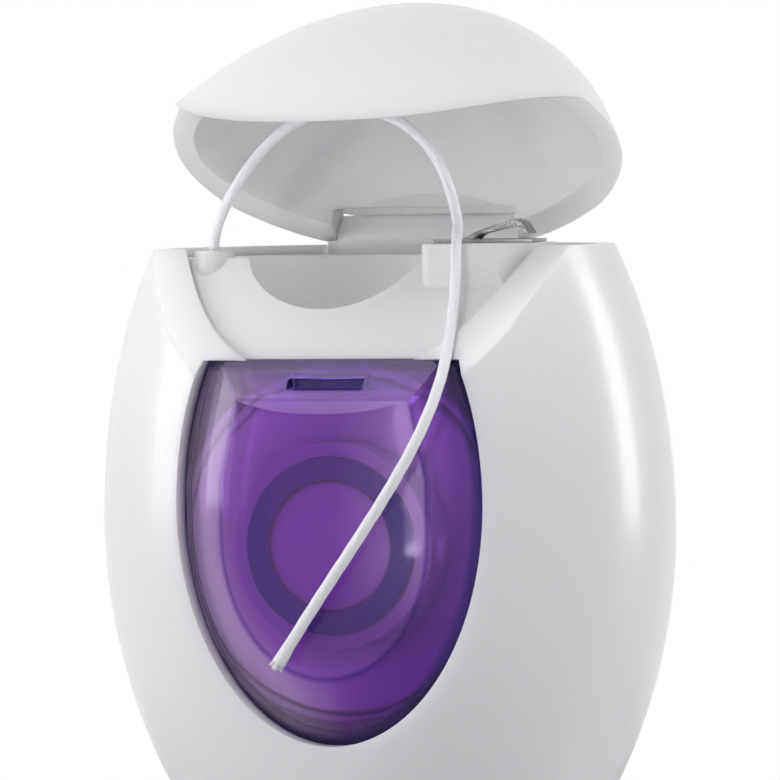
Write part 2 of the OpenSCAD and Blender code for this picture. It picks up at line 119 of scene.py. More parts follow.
def lay_thread(thread, line, width, lobes, sides):
    uv = thread.loops.layers.uv.verify()
    column = thread.verts.layers.int.get("column") or thread.verts.layers.int.new("column")
    travel = thread.verts.layers.float.get("travel") or thread.verts.layers.float.new("travel")
    ring = bmesh.ops.create_circle(thread, cap_ends=True, segments=sides, radius=1)["verts"]
    for v in ring:
        v[column] = round(atan2(v.co.y, v.co.x) / (2 * pi) * sides) % sides
    edges = list({e for v in ring for e in v.link_edges})
    side, gone = Vector((0, 1, 0.01)), 0.0
    for i, here in enumerate(line):
        if i:
            gone += (here - line[i - 1]).length
            grown = bmesh.ops.extrude_edge_only(thread, edges=edges)["geom"]
            ring = [g for g in grown if isinstance(g, bmesh.types.BMVert)]
            edges = [g for g in grown if isinstance(g, bmesh.types.BMEdge) and g.is_boundary]
        ahead = (line[min(i + 1, len(line) - 1)] - line[max(i - 1, 0)]).normalized()
        side = (side - side.dot(ahead) * ahead).normalized()
        across = ahead.cross(side)
        for v in ring:
            a = 2 * pi * v[column] / sides
            r = width(gone) / 2 * (1 + lobes * (cos(7 * (a + gone * 0.35)) - 1))
            v.co = here + r * (cos(a) * side + sin(a) * across)
            v[travel] = gone
    bmesh.ops.contextual_create(thread, geom=edges)
    for face in thread.faces:
        turned = [loop.vert[column] for loop in face.loops]
        on_seam = len(face.verts) == 4 and max(turned) - min(turned) > sides / 2
        for loop, c in zip(face.loops, turned):
            wrap = sides if on_seam and c < sides / 2 else 0
            loop[uv].uv = ((c + wrap) / sides, loop.vert[travel] / 10)


def keep_piece(mesh_in_mm, name, materials, slot, body, *stands_for):
    bmesh.ops.scale(mesh_in_mm, vec=(0.001, 0.001, 0.001), verts=mesh_in_mm.verts)
    bmesh.ops.recalc_face_normals(mesh_in_mm, faces=mesh_in_mm.faces)
    for face in mesh_in_mm.faces:
        face.smooth = True
    data = bpy.data.meshes.new(name)
    mesh_in_mm.to_mesh(data)
    mesh_in_mm.free()
    piece = bpy.data.objects.new(name, data)
    bpy.context.collection.objects.link(piece)
    for material in materials:
        data.materials.append(material)
    if stands_for:
        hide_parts(*stands_for)
    if body:
        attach(piece, body)
    return piece


def new_finish(name, **settings):
    finish = bpy.data.materials.new(name)
    finish.use_nodes = True
    nodes, links = finish.node_tree.nodes, finish.node_tree.links
    shader = nodes["Principled BSDF"]
    for socket, value in settings.items():
        shader.inputs[socket.replace("_", " ")].default_value = value
    return finish, nodes, links, shader


# The thread's own finish: fine filaments run along it and the wax makes them shine a little.
waxed, nodes, links, shader = new_finish("waxed_floss", Roughness=0.48, Subsurface_Weight=0.3,
                                         Subsurface_Scale=0.0004)
shader.inputs["Subsurface Radius"].default_value = (1, 1, 1)
where = nodes.new("ShaderNodeUVMap")
stretch = nodes.new("ShaderNodeMapping")
stretch.inputs["Scale"].default_value = (46, 5, 1)
fibres = nodes.new("ShaderNodeTexNoise")
fibres.inputs["Scale"].default_value = 1.6
fibres.inputs["Detail"].default_value = 4
tone = nodes.new("ShaderNodeValToRGB")
tone.color_ramp.elements[0].position = 0.3
tone.color_ramp.elements[0].color = (0.78, 0.79, 0.82, 1)
tone.color_ramp.elements[1].position = 0.62
tone.color_ramp.elements[1].color = (0.93, 0.93, 0.95, 1)
ridges = nodes.new("ShaderNodeBump")
ridges.inputs["Strength"].default_value = 0.5
ridges.inputs["Distance"].default_value = 0.00006
links.new(where.outputs["UV"], stretch.inputs["Vector"])
links.new(stretch.outputs["Vector"], fibres.inputs["Vector"])
links.new(fibres.outputs["Fac"], tone.inputs["Fac"])
links.new(fibres.outputs["Fac"], ridges.inputs["Height"])
links.new(tone.outputs["Color"], shader.inputs["Base Color"])
links.new(ridges.outputs["Normal"], shader.inputs["Normal"])

# One listed route runs from the exit over the deck to the notch and down to the cut end.
route = [(-14.1, -4.0, 54.45), (-14.1, -4.0, 55.2), (-13.8, -3.9, 56.6), (-13.0, -3.5, 58.6),
         (-11.5, -3.1, 61.1), (-9.4, -2.6, 63.7), (-6.7, -2.2, 65.7), (-3.2, -2.0, 66.8),
         (0.6, -2.1, 66.4), (4.0, -2.4, 64.7), (5.9, -3.0, 62.9), (7.4, -3.6, 60.8),
         (8.3, -4.1, 58.6), (8.9, -4.6, 56.8), (9.3, -5.5, 55.95), (9.65, -6.6, 55.55),
         (10.0, -7.7, 55.0), (10.1, -8.1, 54.0), (10.15, -8.3, 52.5), (10.3, -9.0, 50.2),
         (10.55, -10.4, 48.0), (10.8, -12.2, 45.5), (10.8, -13.7, 43.3), (10.3, -14.9, 41.0),
         (9.35, -15.45, 38.6), (7.8, -15.7, 35.9), (5.7, -15.7, 32.7), (3.0, -15.7, 29.0),
         (0.3, -15.7, 25.3), (-1.6, -15.7, 22.6), (-3.7, -15.6, 19.6)]
notch_at = Vector((10.0, -7.7, 54.9))
smoothing_passes = 90
whole = along(route, 10)
for _ in range(smoothing_passes):
    eased = [(a + 2 * b + c) / 4 for a, b, c in zip(whole, whole[1:], whole[2:])]
    whole = whole[:1] + eased + whole[-1:]
notch = min(range(len(whole)), key=lambda i: (whole[i] - notch_at).length)
line = whole[:notch + 1]
total = length_of(line)
thread = bmesh.new()
lay_thread(thread, line, lambda gone: floss_seen, floss_lobes, floss_sides)
arch = keep_piece(thread, "floss_over_deck", [waxed], "floss_strand", "container", "floss_loop")

line = whole[notch:]
total = length_of(line)


def tail_width(gone):
    return floss_seen + tail_flare * gone / total + end_flare * max(0, gone - total + 2) / 2


# The cut end frays into filaments, set out in a spiral and rooted a little way inside it.
filaments = 26
rooted = 0.3
thread = bmesh.new()
lay_thread(thread, line, tail_width, floss_lobes, floss_sides)
chance = random.Random(7)
end, last = line[-1], (line[-1] - line[-3]).normalized()
for k in range(filaments):
    a, out = 2 * pi * k / filaments * 5, 0.5 * sqrt((k + 0.5) / filaments)
    side = last.orthogonal().normalized()
    spot = end + out * (cos(a) * side + sin(a) * last.cross(side)) - rooted * last
    lean_out = (spot - end + rooted * last) * 0.55
    tip = spot + last * chance.uniform(0.55, 0.95) + lean_out * chance.uniform(0.3, 0.8)
    halfway = (spot + tip) / 2 + lean_out * 0.05
    lay_thread(thread, [spot, halfway, tip], lambda gone: 0.16 - 0.09 * gone, 0.0, 6)
tail = keep_piece(thread, "floss_free_end", [waxed], "floss_strand", "container", "floss_tail")

inside = [(-15.7, -1.0, 31.0), (-15.7, -1.3, 36.0), (-15.5, -2.0, 42.0), (-14.8, -3.3, 48.0),
          (-14.1, -4.0, 52.0), (-14.1, -4.0, 53.4), (-14.1, -4.0, 54.4)]
thread = bmesh.new()
full_d = 1.05
lay_thread(thread, along(inside, 10), lambda gone: full_d, floss_lobes, floss_sides)
keep_piece(thread, "floss_in_case", [waxed], "floss_strand", "container", "floss_feed")


# Case. One glossy white moulding, a pod flattened front and back with a rounded edge band.
# Its wall is one ring of points extruded from the back's middle over the rim to the window's
# opening and back inside; the top is cut off along the parting line and the base is cut flat.
def rim_point(turn, cut):
    reach, power = upper_half if sin(turn) >= 0 else lower_half
    across, up = [copysign(abs(v) ** (2 / power), v) for v in (cos(turn), sin(turn))]
    return (half_width - cut) * across, (reach - cut) * up


def part_way_out(x, z, cut):
    reach, power = upper_half if z >= widest_z else lower_half
    across, up = abs(x) / (half_width - cut), abs(z - widest_z) / (reach - cut)
    return (across**power + up**power) ** (1 / power)


def half_depth(r, cut):
    edge = edge_band - cut
    from_rim = min(max((1 - r) * half_width, 0), edge)
    return crown - cut - crown_fall * r**3 - (edge - sqrt(edge**2 - (edge - from_rim) ** 2))


def skin_point(turn, r, face, cut):
    x, z = rim_point(turn, cut)
    return Vector((r * x, face * half_depth(r, cut), widest_z + r * z))


def rounds_to_rim(cut, across=14, over=9):
    start = 1 - (edge_band - cut) / half_width
    flat = [start * (i + 1) / across for i in range(across)]
    curl = [1 - (edge_band - cut) * (1 - sin(pi / 2 * i / over)) / half_width for i in range(1, over + 1)]
    return flat + curl


def loft(mesh, turns, rings):
    column = mesh.verts.layers.int.get("column") or mesh.verts.layers.int.new("column")
    count = len(turns)
    first = ring = bmesh.ops.create_circle(mesh, segments=count, radius=1)["verts"]
    for v in ring:
        v[column] = round(atan2(v.co.y, v.co.x) / (2 * pi) * count) % count
    edges = list({e for v in ring for e in v.link_edges})
    for i, place in enumerate(rings):
        if i:
            grown = bmesh.ops.extrude_edge_only(mesh, edges=edges)["geom"]
            ring = [g for g in grown if isinstance(g, bmesh.types.BMVert)]
            edges = [g for g in grown if isinstance(g, bmesh.types.BMEdge) and g.is_boundary]
        for v in ring:
            v.co = place(turns[v[column]])
    for pole in (first, ring):
        bmesh.ops.pointmerge(mesh, verts=pole, merge_co=sum((v.co for v in pole), Vector()) / count)


# Seen from the side, the case and cap part along a level line that turns down to the front in a
# slope that steepens. A drop gives the line that lies so far below, at right angles to it.
corner_share = 0.4142
slope_step, slope_steps = 0.3, 40
steepening = 0.1


def parting_line(drop):
    line = [(30, deck_z - drop), (slope_y + corner_share * drop, deck_z - drop)]
    for i in range(1, slope_steps + 1):
        run = slope_step * i
        fall = 1 + steepening * run
        y = slope_y - run + drop * fall / sqrt(1 + fall**2)
        if y < line[-1][0] - 0.05:
            line.append((y, deck_z - run - steepening / 2 * run**2 - drop / sqrt(1 + fall**2)))
    return line + [(line[-1][0] - 20, line[-1][1] - 44)]


def height_on(line, y):
    for (y0, z0), (y1, z1) in zip(line, line[1:]):
        if y >= y1:
            return z0 + (z1 - z0) * (y - y0) / (y1 - y0)
    return line[-1][1]


def cut_at(mesh, geom, spot, facing, **keep):
    cut = bmesh.ops.bisect_plane(mesh, geom=geom, dist=0.002, plane_co=spot, plane_no=facing, **keep)
    return [g for g in cut["geom_cut"] if isinstance(g, bmesh.types.BMEdge)]


def all_of(mesh):
    return mesh.verts[:] + mesh.edges[:] + mesh.faces[:]


def cut_below(mesh, z):
    bmesh.ops.edgeloop_fill(mesh, edges=cut_at(mesh, all_of(mesh), (0, 0, z), (0, 0, -1), clear_outer=True))


def level_faces(mesh):
    return [f for f in mesh.faces if max(abs(v.co.z) for v in f.verts) < 0.003]


# The mesh is sheared so that the parting line is level, cut there and closed. The new face is
# then scored across, so that it can follow the slope when the mesh is sheared back.
def cut_on_parting_line(mesh, drop, keep_upper=False):
    line = parting_line(drop)
    for v in mesh.verts:
        v.co.z -= height_on(line, v.co.y)
    rim = cut_at(mesh, all_of(mesh), (0, 0, 0), (0, 0, 1), clear_outer=not keep_upper, clear_inner=keep_upper)
    bmesh.ops.triangle_fill(mesh, use_beauty=True, edges=rim)
    bmesh.ops.dissolve_faces(mesh, faces=level_faces(mesh), use_verts=False)
    for i in range(14):
        flat = level_faces(mesh)
        edges = {e for f in flat for e in f.edges}
        verts = {v for f in flat for v in f.verts}
        cut_at(mesh, [*verts, *edges, *flat], (0, slope_y + corner_share * drop - 0.8 * i, 0), (0, 1, 0))
    for v in mesh.verts:
        v.co.z += height_on(line, v.co.y)


def in_window(x, z, grow=0.0):
    tall = window_up if z > window_mid_z else window_down
    across, up = x / (window_half_w + grow), (z - window_mid_z) / (tall + grow)
    return z < window_top_z + grow and across**2 + up**2 < 1


def last_inside(inside, low, high, steps):
    for _ in range(steps):
        middle = (low + high) / 2
        low, high = (middle, high) if inside(middle) else (low, middle)
    return low


def window_reach(turn, grow=0.0):
    x, z = rim_point(turn, 0)
    return last_inside(lambda r: in_window(r * x, widest_z + r * z, grow), 0.0, 1.0, 40)


def add_rounding(piece, width, corner=35, segments=3):
    rounding = piece.modifiers.new("rounded_edges", "BEVEL")
    rounding.width = width / 1000
    rounding.segments = segments
    rounding.limit_method = "ANGLE"
    rounding.angle_limit = radians(corner)
    rounding.use_clamp_overlap = True
    rounding.miter_outer = "MITER_ARC"
    shading = piece.modifiers.new("even_shading", "WEIGHTED_NORMAL")
    shading.weight = 50
    shading.keep_sharp = True


def moulded(name, colour, roughness, grain, coat=0.0, glow=0.0):
    finish, nodes, links, shader = new_finish(name, Roughness=roughness, Coat_Weight=coat,
                                              Subsurface_Weight=glow, Subsurface_Scale=0.003)
    shader.inputs["Subsurface Radius"].default_value = (1.0, 0.97, 0.9)
    shader.inputs["Coat Roughness"].default_value = 0.12
    place = nodes.new("ShaderNodeTexCoord")
    flow = nodes.new("ShaderNodeTexNoise")
    flow.inputs["Scale"].default_value = 55
    flow.inputs["Detail"].default_value = 2
    tint = nodes.new("ShaderNodeMix")
    tint.data_type = "RGBA"
    tint.inputs["A"].default_value = (*[c * 0.985 for c in colour], 1)
    tint.inputs["B"].default_value = (*[min(1, c * 1.012) for c in colour], 1)
    skin = nodes.new("ShaderNodeTexNoise")
    skin.inputs["Scale"].default_value = 900
    skin.inputs["Detail"].default_value = 3
    matt = nodes.new("ShaderNodeMapRange")
    matt.inputs["To Min"].default_value = roughness - 0.04
    matt.inputs["To Max"].default_value = roughness + 0.05
    orange_peel = nodes.new("ShaderNodeBump")
    orange_peel.inputs["Strength"].default_value = grain
    orange_peel.inputs["Distance"].default_value = 0.00003
    links.new(place.outputs["Object"], flow.inputs["Vector"])
    links.new(place.outputs["Object"], skin.inputs["Vector"])
    links.new(flow.outputs["Fac"], tint.inputs["Factor"])
    links.new(tint.outputs["Result"], shader.inputs["Base Color"])
    links.new(skin.outputs["Fac"], matt.inputs["Value"])
    links.new(matt.outputs["Result"], shader.inputs["Roughness"])
    links.new(skin.outputs["Fac"], orange_peel.inputs["Height"])
    links.new(orange_peel.outputs["Normal"], shader.inputs["Normal"])
    return finish


def tool_piece(mesh_in_mm):
    bmesh.ops.recalc_face_normals(mesh_in_mm, faces=mesh_in_mm.faces)
    bmesh.ops.scale(mesh_in_mm, vec=(0.001, 0.001, 0.001), verts=mesh_in_mm.verts)
    data = bpy.data.meshes.new("tool")
    mesh_in_mm.to_mesh(data)
    mesh_in_mm.free()
    tool = bpy.data.objects.new("tool", data)
    bpy.context.collection.objects.link(tool)
    return tool


def combine(piece, tool, way):
    step = piece.modifiers.new("combine", "BOOLEAN")
    step.operation = way
    step.solver = "EXACT"
    step.object = tool
    bpy.context.view_layer.objects.active = piece
    bpy.ops.object.modifier_apply(modifier=step.name)
    bpy.data.objects.remove(tool)


def bar(radius, centre, length, axis="X", sides=64):
    rod = bmesh.new()
    bmesh.ops.create_cone(rod, cap_ends=True, segments=sides, radius1=radius, radius2=radius, depth=length)
    if axis != "Z":
        bmesh.ops.rotate(rod, matrix=Matrix.Rotation(pi / 2, 3, "Y" if axis == "X" else "X"), verts=rod.verts)
    bmesh.ops.translate(rod, vec=centre, verts=rod.verts)
    return tool_piece(rod)


white = moulded("white_moulding", (0.82, 0.82, 0.82), 0.30, 0.10, coat=0.25, glow=0.8)
# The columns go round in 180 turns, of which two are moved to meet the window's top corners.
columns = 180
corner_x, corner_up = 11.78, 14.4
turns = [2 * pi * i / columns for i in range(columns)]
for x in (corner_x, -corner_x):
    power = upper_half[1] / 2
    corner = atan2((corner_up / upper_half[0]) ** power, copysign((abs(x) / half_width) ** power, x))
    turns[round(corner / (2 * pi) * columns)] = corner
reach = {t: window_reach(t) for t in turns}


def opening_point(turn, cut):
    x, z = rim_point(turn, 0)
    x, z = reach[turn] * x, widest_z + reach[turn] * z
    return Vector((x, -half_depth(part_way_out(x, z, cut), cut), z))


def floored(p):
    return Vector((p.x, p.y, max(p.z, floor_z)))


def front_ring(k, cut):
    start = 1 - (edge_band - cut) / half_width
    return lambda t: skin_point(t, reach[t] + (start - reach[t]) * k / 12, -1, cut)


outer, inner = rounds_to_rim(0), rounds_to_rim(case_wall)
rings = [lambda t, r=r: skin_point(t, r, 1, 0) for r in [0.001, *outer]]
rings += [lambda t, r=r: skin_point(t, r, -1, 0) for r in reversed(outer[14:])]
rings += [front_ring(k, 0) for k in range(12, 0, -1)] + [lambda t: opening_point(t, 0)]
rings += [lambda t: opening_point(t, case_wall)]
rings += [lambda t, k=k: floored(front_ring(k, case_wall)(t)) for k in range(1, 13)]
rings += [lambda t, r=r: floored(skin_point(t, r, -1, case_wall)) for r in inner[14:]]
rings += [lambda t, r=r: floored(skin_point(t, r, 1, case_wall)) for r in reversed([0.001, *inner])]
shell = bmesh.new()
loft(shell, turns, rings)
cut_below(shell, 0)
cut_on_parting_line(shell, 0)
bmesh.ops.remove_doubles(shell, verts=shell.verts, dist=weld)
case = keep_piece(shell, "case", [white], "shell_white", "container", "body_shell")
groove_w, strip_w = 19.6, 19
hinge_at = (0, hinge_y, hinge_z)
combine(case, bar(groove_r, hinge_at, groove_w), "DIFFERENCE")
post_r, post_length = 5.4, 26
combine(case, bar(post_r, (0, 1.05, hub_z), post_length, "Y", 72), "UNION")
add_rounding(case, 0.22)


# Lands at the hinge. Two solid ribs moulded on, one behind the case's rear rim and one inside
# the cap's, hollowed where the strip bends between them. Each is a block trimmed to the pod.
def lens(cut, columns=120):
    mesh = bmesh.new()
    rims = rounds_to_rim(cut)
    rings = [lambda t, r=r: skin_point(t, r, 1, cut) for r in [0.001, *rims]]
    rings += [lambda t, r=r: skin_point(t, r, -1, cut) for r in reversed([0.001, *rims])]
    loft(mesh, [2 * pi * i / columns for i in range(columns)], rings)
    return mesh


def block(low, high, soften=0.0):
    mesh = bmesh.new()
    size = Vector(high) - Vector(low)
    bmesh.ops.create_cube(mesh, size=1)
    bmesh.ops.scale(mesh, vec=size, verts=mesh.verts)
    bmesh.ops.translate(mesh, vec=(Vector(high) + Vector(low)) / 2, verts=mesh.verts)
    if soften:
        bmesh.ops.bevel(mesh, geom=mesh.edges[:], affect="EDGES", offset=soften, segments=3, profile=0.5,
                        material=-1)
    return mesh


land_half_w = 10.9
rib = block((-land_half_w, 7.1, 48.9), (land_half_w, 15.1, 52.22))
lower_land = keep_piece(rib, "lower_hinge_land", [white], "shell_white", "container")
combine(lower_land, tool_piece(lens(0.75)), "INTERSECT")
combine(lower_land, bar(groove_r, hinge_at, groove_w), "DIFFERENCE")
add_rounding(lower_land, 0.1)


# Window. Clear violet moulding set into the front: a raised field with a sloping border, a
# ridge where it turns back along the parting line, a slot for the cap's latch, a lip behind
# the case's wall and the hub tube. The plate is a ring extruded from its middle, front to back.
field_half_w, field_down, field_mid_z = 9.4, 11.8, 30
border_slope, border_deepest = 0.26, 0.95
border_w = 3.6
plate_clear, lip_face, lip_back, plate_back = 0.08, 1.58, 2.48, 2.3


# How far a place lies outside the raised field, or, below nought, inside it.
def past_field(x, z):
    if z >= field_mid_z:
        return abs(x) - field_half_w + 0.22 * max(0, z - 35)

    def outside(grow):
        across, up = x / (field_half_w + grow), (z - field_mid_z) / (field_down + grow)
        return across**2 + up**2 > 1

    return last_inside(outside, -9.0, 20.0, 24)


def depth_on(line, z):
    for (y0, z0), (y1, z1) in zip(line, line[1:]):
        if z >= z1 and z0 > z1:
            return -(y0 + (y1 - y0) * (z0 - z) / (z0 - z1))
    return 40


def front_depth(x, z):
    sunk = 0.15 + min(border_slope * max(0, past_field(x, z)), border_deepest)
    return half_depth(part_way_out(x, z, sunk), sunk)


inner_slope = parting_line(1.8)


def back_depth(x, z):
    return min(half_depth(part_way_out(x, z, plate_back), plate_back), depth_on(inner_slope, z))


def field_reach(turn, grow, limit):
    x, z = rim_point(turn, 0)
    return last_inside(lambda r: past_field(r * x, widest_z + r * z) < grow, 0.05, limit, 24)


def plate_point(turn, r, depth):
    x, z = rim_point(turn, 0)
    x, z = r * x, widest_z + r * z
    return Vector((x, -depth(x, z), z))


def chamfer_depth(x, z):
    return front_depth(x, z) - 0.4


def lip_depth(cut):
    def depth(x, z):
        below_slope = depth_on(inner_slope, z) if z > 41 else 99
        return min(half_depth(part_way_out(x, z, cut), cut), below_slope)
    return depth


def lip_reach(turn):
    beside_the_deck = widest_z + edge_r[turn] * rim_point(turn, 0)[1] >= 41.5
    return window_reach(turn, -0.07 if beside_the_deck else 1.2)


def plate_rings(shares, start_r, end_r, depth):
    return [lambda t, k=k: plate_point(t, start_r[t] + (end_r[t] - start_r[t]) * k, depth) for k in shares]


edge_r = {t: window_reach(t, -plate_clear) for t in turns}
lip_r = {t: lip_reach(t) for t in turns}
ridge_r = {t: field_reach(t, 0, edge_r[t] * 0.9) for t in turns}
foot_r = {t: max(field_reach(t, border_w, edge_r[t] * 0.95), ridge_r[t] + 0.008) for t in turns}
fall_r = {t: max(edge_r[t] - 0.026, foot_r[t] + (edge_r[t] - foot_r[t]) * 0.4) for t in turns}
middle_r = {t: 0 for t in turns}
inner_lip_r = {t: edge_r[t] - 0.03 for t in turns}
back_r = {t: edge_r[t] - 0.035 for t in turns}
rings = plate_rings((0.002, 0.15, 0.3, 0.45, 0.6, 0.75, 0.88, 0.97, 1), middle_r, ridge_r, front_depth)
rings += plate_rings((0.13, 0.35, 0.67, 1), ridge_r, foot_r, front_depth)
rings += plate_rings((0.4, 0.7, 1), foot_r, fall_r, front_depth)
rings += plate_rings((1,), middle_r, edge_r, chamfer_depth)
rings += plate_rings((0, 1), edge_r, lip_r, lip_depth(lip_face))
rings += plate_rings((0, 1), lip_r, inner_lip_r, lip_depth(lip_back))
rings += plate_rings((1, 0.85, 0.7, 0.55, 0.4, 0.2, 0.002), middle_r, back_r, back_depth)
plate = bmesh.new()
loft(plate, turns, rings)

# Light and shade are painted on the points as their tint over the violet: a painted reflection
# pales the border left of the field, painted shade darkens the border right of it and, deepest, a
# line along the ridge, and a painted highlight pales the field's right half.
field_tint = 0.5
tint = plate.verts.layers.float.new("tint")
for v in plate.verts:
    past_ridge = past_field(v.co.x, v.co.z)
    # Painted reflection and painted shade: the border is paler left of the field and darker right of it.
    side = min(max((1 - v.co.x) / 5, -0.4), 1)
    # Painted highlight: the upper right half of the field is paler, as where light falls through it.
    lit = min(max((v.co.x - 1) / 6, 0), 1) * min(max((v.co.z - 22) / 6, 0), 1) * (past_ridge < 0)
    v[tint] = field_tint + 0.5 * side * min(max(0, past_ridge) / 0.4, 1) + 0.35 * lit
    # Painted shade: a dark line along the front of the ridge.
    if abs(past_ridge) < 0.1 and v.co.y < -9:
        v[tint] = 0
cut_on_parting_line(plate, 0)
bmesh.ops.remove_doubles(plate, verts=plate.verts, dist=weld)

violet, nodes, links, shader = new_finish("violet_window", Roughness=0.07, IOR=1.47, Transmission_Weight=0.92)
shader.inputs["Specular Tint"].default_value = (0.80, 0.66, 1.0, 1)
# Painted shade: the base colour turns navy in a thin band round the window's rim, along its top edge and
# inside the latch slot.
place = nodes.new("ShaderNodeTexCoord")
oval = nodes.new("ShaderNodeMapping")
oval_w, oval_h, oval_z = 0.0141, 0.0209, 0.033
oval.inputs["Scale"].default_value = (1 / oval_w, 0, 1 / oval_h)
oval.inputs["Location"].default_value = (0.035, 0, -oval_z / oval_h)
from_middle = nodes.new("ShaderNodeVectorMath")
from_middle.operation = "LENGTH"
shade_near_rim = nodes.new("ShaderNodeMapRange")
shade_near_rim.inputs["From Min"].default_value = 0.93
shade_near_rim.inputs["From Max"].default_value = 0.96
height = nodes.new("ShaderNodeSeparateXYZ")
shade_near_top = nodes.new("ShaderNodeMapRange")
shade_near_top.inputs["From Min"].default_value = 0.0441
shade_near_top.inputs["From Max"].default_value = 0.0446
rim = nodes.new("ShaderNodeMath")
rim.operation = "MAXIMUM"
latch_slot = nodes.new("ShaderNodeMapping")
slot_half_w, slot_half_h, slot_z = 0.0036, 0.0006, 0.0431
latch_slot.inputs["Scale"].default_value = (1 / slot_half_w, 0, 1 / slot_half_h)
latch_slot.inputs["Location"].default_value = (0, 0, -slot_z / slot_half_h)
from_slot = nodes.new("ShaderNodeVectorMath")
from_slot.operation = "ABSOLUTE"
both_ways = nodes.new("ShaderNodeSeparateXYZ")
farther = nodes.new("ShaderNodeMath")
farther.operation = "MAXIMUM"
shade_in_slot = nodes.new("ShaderNodeMath")
shade_in_slot.operation = "LESS_THAN"
shade_in_slot.inputs[1].default_value = 1
painted_shade_mask = nodes.new("ShaderNodeMath")
painted_shade_mask.operation = "MAXIMUM"
# Painted light and shade read from the points' tint: navy along the ridge, deeper violet right of the field,
# the field's own violet, and pale lilac as a painted reflection left of it.
painted = nodes.new("ShaderNodeAttribute")
painted.attribute_name = "tint"
painted_light_and_shade_ramp = nodes.new("ShaderNodeValToRGB")
painted_light_and_shade_ramp.color_ramp.elements[0].color = (0.12, 0.06, 0.42, 1)
painted_light_and_shade_ramp.color_ramp.elements.new(0.3).color = (0.38, 0.14, 0.64, 1)
painted_light_and_shade_ramp.color_ramp.elements.new(field_tint).color = (0.45, 0.18, 0.70, 1)
painted_light_and_shade_ramp.color_ramp.elements[-1].color = (0.82, 0.64, 0.93, 1)
violet_with_painted_light = nodes.new("ShaderNodeMix")
violet_with_painted_light.data_type = "RGBA"
violet_with_painted_light.inputs["B"].default_value = (0.09, 0.06, 0.30, 1)
links.new(place.outputs["Object"], oval.inputs["Vector"])
links.new(place.outputs["Object"], height.inputs["Vector"])
links.new(oval.outputs["Vector"], from_middle.inputs[0])
links.new(from_middle.outputs["Value"], shade_near_rim.inputs["Value"])
links.new(height.outputs["Z"], shade_near_top.inputs["Value"])
links.new(shade_near_rim.outputs["Result"], rim.inputs[0])
links.new(shade_near_top.outputs["Result"], rim.inputs[1])
links.new(place.outputs["Object"], latch_slot.inputs["Vector"])
links.new(latch_slot.outputs["Vector"], from_slot.inputs[0])
links.new(from_slot.outputs["Vector"], both_ways.inputs["Vector"])
links.new(both_ways.outputs["X"], farther.inputs[0])
links.new(both_ways.outputs["Z"], farther.inputs[1])
links.new(farther.outputs["Value"], shade_in_slot.inputs[0])
links.new(rim.outputs["Value"], painted_shade_mask.inputs[0])
links.new(shade_in_slot.outputs["Value"], painted_shade_mask.inputs[1])
links.new(painted_shade_mask.outputs["Value"], violet_with_painted_light.inputs["Factor"])
links.new(painted.outputs["Fac"], painted_light_and_shade_ramp.inputs["Fac"])
links.new(painted_light_and_shade_ramp.outputs["Color"], violet_with_painted_light.inputs["A"])
links.new(violet_with_painted_light.outputs["Result"], shader.inputs["Base Color"])
window = keep_piece(plate, "window", [violet], "window_violet", "container", "front_window")
combine(window, tool_piece(block((-3.5, -14.6, 42.6), (3.5, -11.9, 43.6), 0.2)), "DIFFERENCE")
add_rounding(window, 0.16, corner=14)

hub_r, hub_wall = 7.5, 1.9
tube = bmesh.new()
path = [Vector((0, -12.3, hub_z)), Vector((0, 12.25, hub_z))]
bmesh.ops.create_circle(tube, segments=96, radius=hub_r)
bmesh.ops.rotate(tube, matrix=Matrix.Rotation(pi / 2, 3, "X"), verts=tube.verts)
bmesh.ops.translate(tube, vec=path[0], verts=tube.verts)
wall = bmesh.ops.extrude_edge_only(tube, edges=tube.edges[:])["geom"]
far_end = [g for g in wall if isinstance(g, bmesh.types.BMVert)]
bmesh.ops.translate(tube, vec=path[1] - path[0], verts=far_end)
bmesh.ops.recalc_face_normals(tube, faces=tube.faces)
bmesh.ops.solidify(tube, geom=tube.faces[:], thickness=hub_wall)
navy, nodes, links, shader = new_finish("hub_plastic", Roughness=0.3, IOR=1.3)
shader.inputs["Base Color"].default_value = (0.02, 0.02, 0.22, 1)
hub = keep_piece(tube, "bobbin_hub", [navy], "window_violet", "container")
add_rounding(hub, 0.15)


# Deck insert. Pale gray satin tray that closes the case below its rim, dished for a fingertip,
# with a collar round the floss exit and a rounded block for the cutter. Cut from a lens along
# the parting line, then the dish, collar and block are joined on and hollowed.
def ball(radius, centre):
    mesh = bmesh.new()
    bmesh.ops.create_uvsphere(mesh, u_segments=96, v_segments=64, radius=radius)
    bmesh.ops.translate(mesh, vec=centre, verts=mesh.verts)
    return mesh


scoop_at, scoop_r, scoop_wall = (-2.4, -6.6, 59.2), 10, 1.2
tray_top, tray_bottom = 0.8, 2.2
exit_hole_r, exit_hole_z = 1.1, 52.5
gray = moulded("gray_insert", (0.72, 0.72, 0.725), 0.42, 0.14, glow=0.4)
tray = lens(insert_cut)
cut_on_parting_line(tray, tray_bottom, keep_upper=True)
cut_on_parting_line(tray, tray_top)
cut_below(tray, insert_z)
bmesh.ops.remove_doubles(tray, verts=tray.verts, dist=weld)
insert = keep_piece(tray, "deck_tray", [gray], "insert_gray", "container", "deck_insert")

